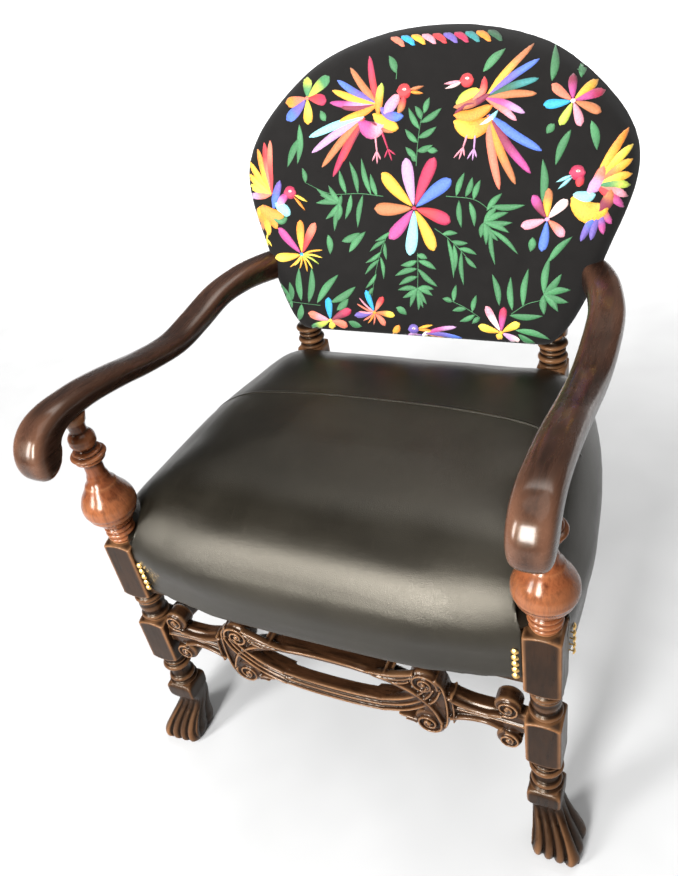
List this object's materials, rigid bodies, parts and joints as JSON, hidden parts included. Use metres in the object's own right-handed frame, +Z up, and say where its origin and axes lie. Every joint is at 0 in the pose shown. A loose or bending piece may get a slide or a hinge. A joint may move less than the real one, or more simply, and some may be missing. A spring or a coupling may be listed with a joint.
{
  "type": "armchair",
  "caption": "Open-arm chair with turned posts, carved scroll feet and pierced front stretcher, a sprung black leather seat and a round-topped back covered in embroidered black cloth.",
  "frame": {"origin": "on the floor, under the middle of the chair's overall box", "axes": "+Z up, -Y towards the front of the seat, +X to the right as seen from the front"},
  "size_m": [0.7042, 0.7597, 0.963],
  "materials": {
    "dark_walnut": "satin, worn edges",
    "frame_hardwood": "sawn, unfinished",
    "screw_steel": "plain",
    "spring_steel": "coppered wire",
    "jute_webbing": "woven jute",
    "burlap": "plain weave",
    "stuffing": "cotton and hair",
    "black_leather": "semi-gloss",
    "dust_cloth": "thin cambric",
    "embroidered_fabric": "black cloth with satin-stitch flowers and birds",
    "nail_brass": "polished"
  },
  "bodies": {
    "root": {"front_post_left": "dark_walnut", "front_post_right": "dark_walnut", "front_foot_left": "dark_walnut", "front_foot_right": "dark_walnut", "rear_leg_left": "dark_walnut", "rear_leg_right": "dark_walnut", "arm_left": "dark_walnut", "arm_right": "dark_walnut", "front_stretcher": "dark_walnut", "side_stretcher_left": "dark_walnut", "side_stretcher_right": "dark_walnut", "rear_stretcher": "dark_walnut", "front_seat_rail": "frame_hardwood", "rear_seat_rail": "frame_hardwood", "side_seat_rail_left": "frame_hardwood", "side_seat_rail_right": "frame_hardwood", "corner_blocks": "frame_hardwood", "back_crest_rail": "frame_hardwood", "back_lower_rail": "frame_hardwood", "back_side_rail_left": "frame_hardwood", "back_side_rail_right": "frame_hardwood", "seat_rail_dowels": "frame_hardwood", "stretcher_dowels": "frame_hardwood", "corner_block_screws": "screw_steel", "arm_screws": "screw_steel", "seat_springs": "spring_steel", "seat_webbing_lengthways": "jute_webbing", "seat_webbing_crossways": "jute_webbing", "back_webbing_upright": "jute_webbing", "back_webbing_level": "jute_webbing", "seat_burlap": "burlap", "back_burlap": "burlap", "seat_padding": "stuffing", "back_padding": "stuffing", "seat_cover": "black_leather", "seat_dust_cover": "dust_cloth", "back_front_cover": "embroidered_fabric", "back_outer_cover": "embroidered_fabric", "brass_nails": "nail_brass"}
  },
  "joints": []
}
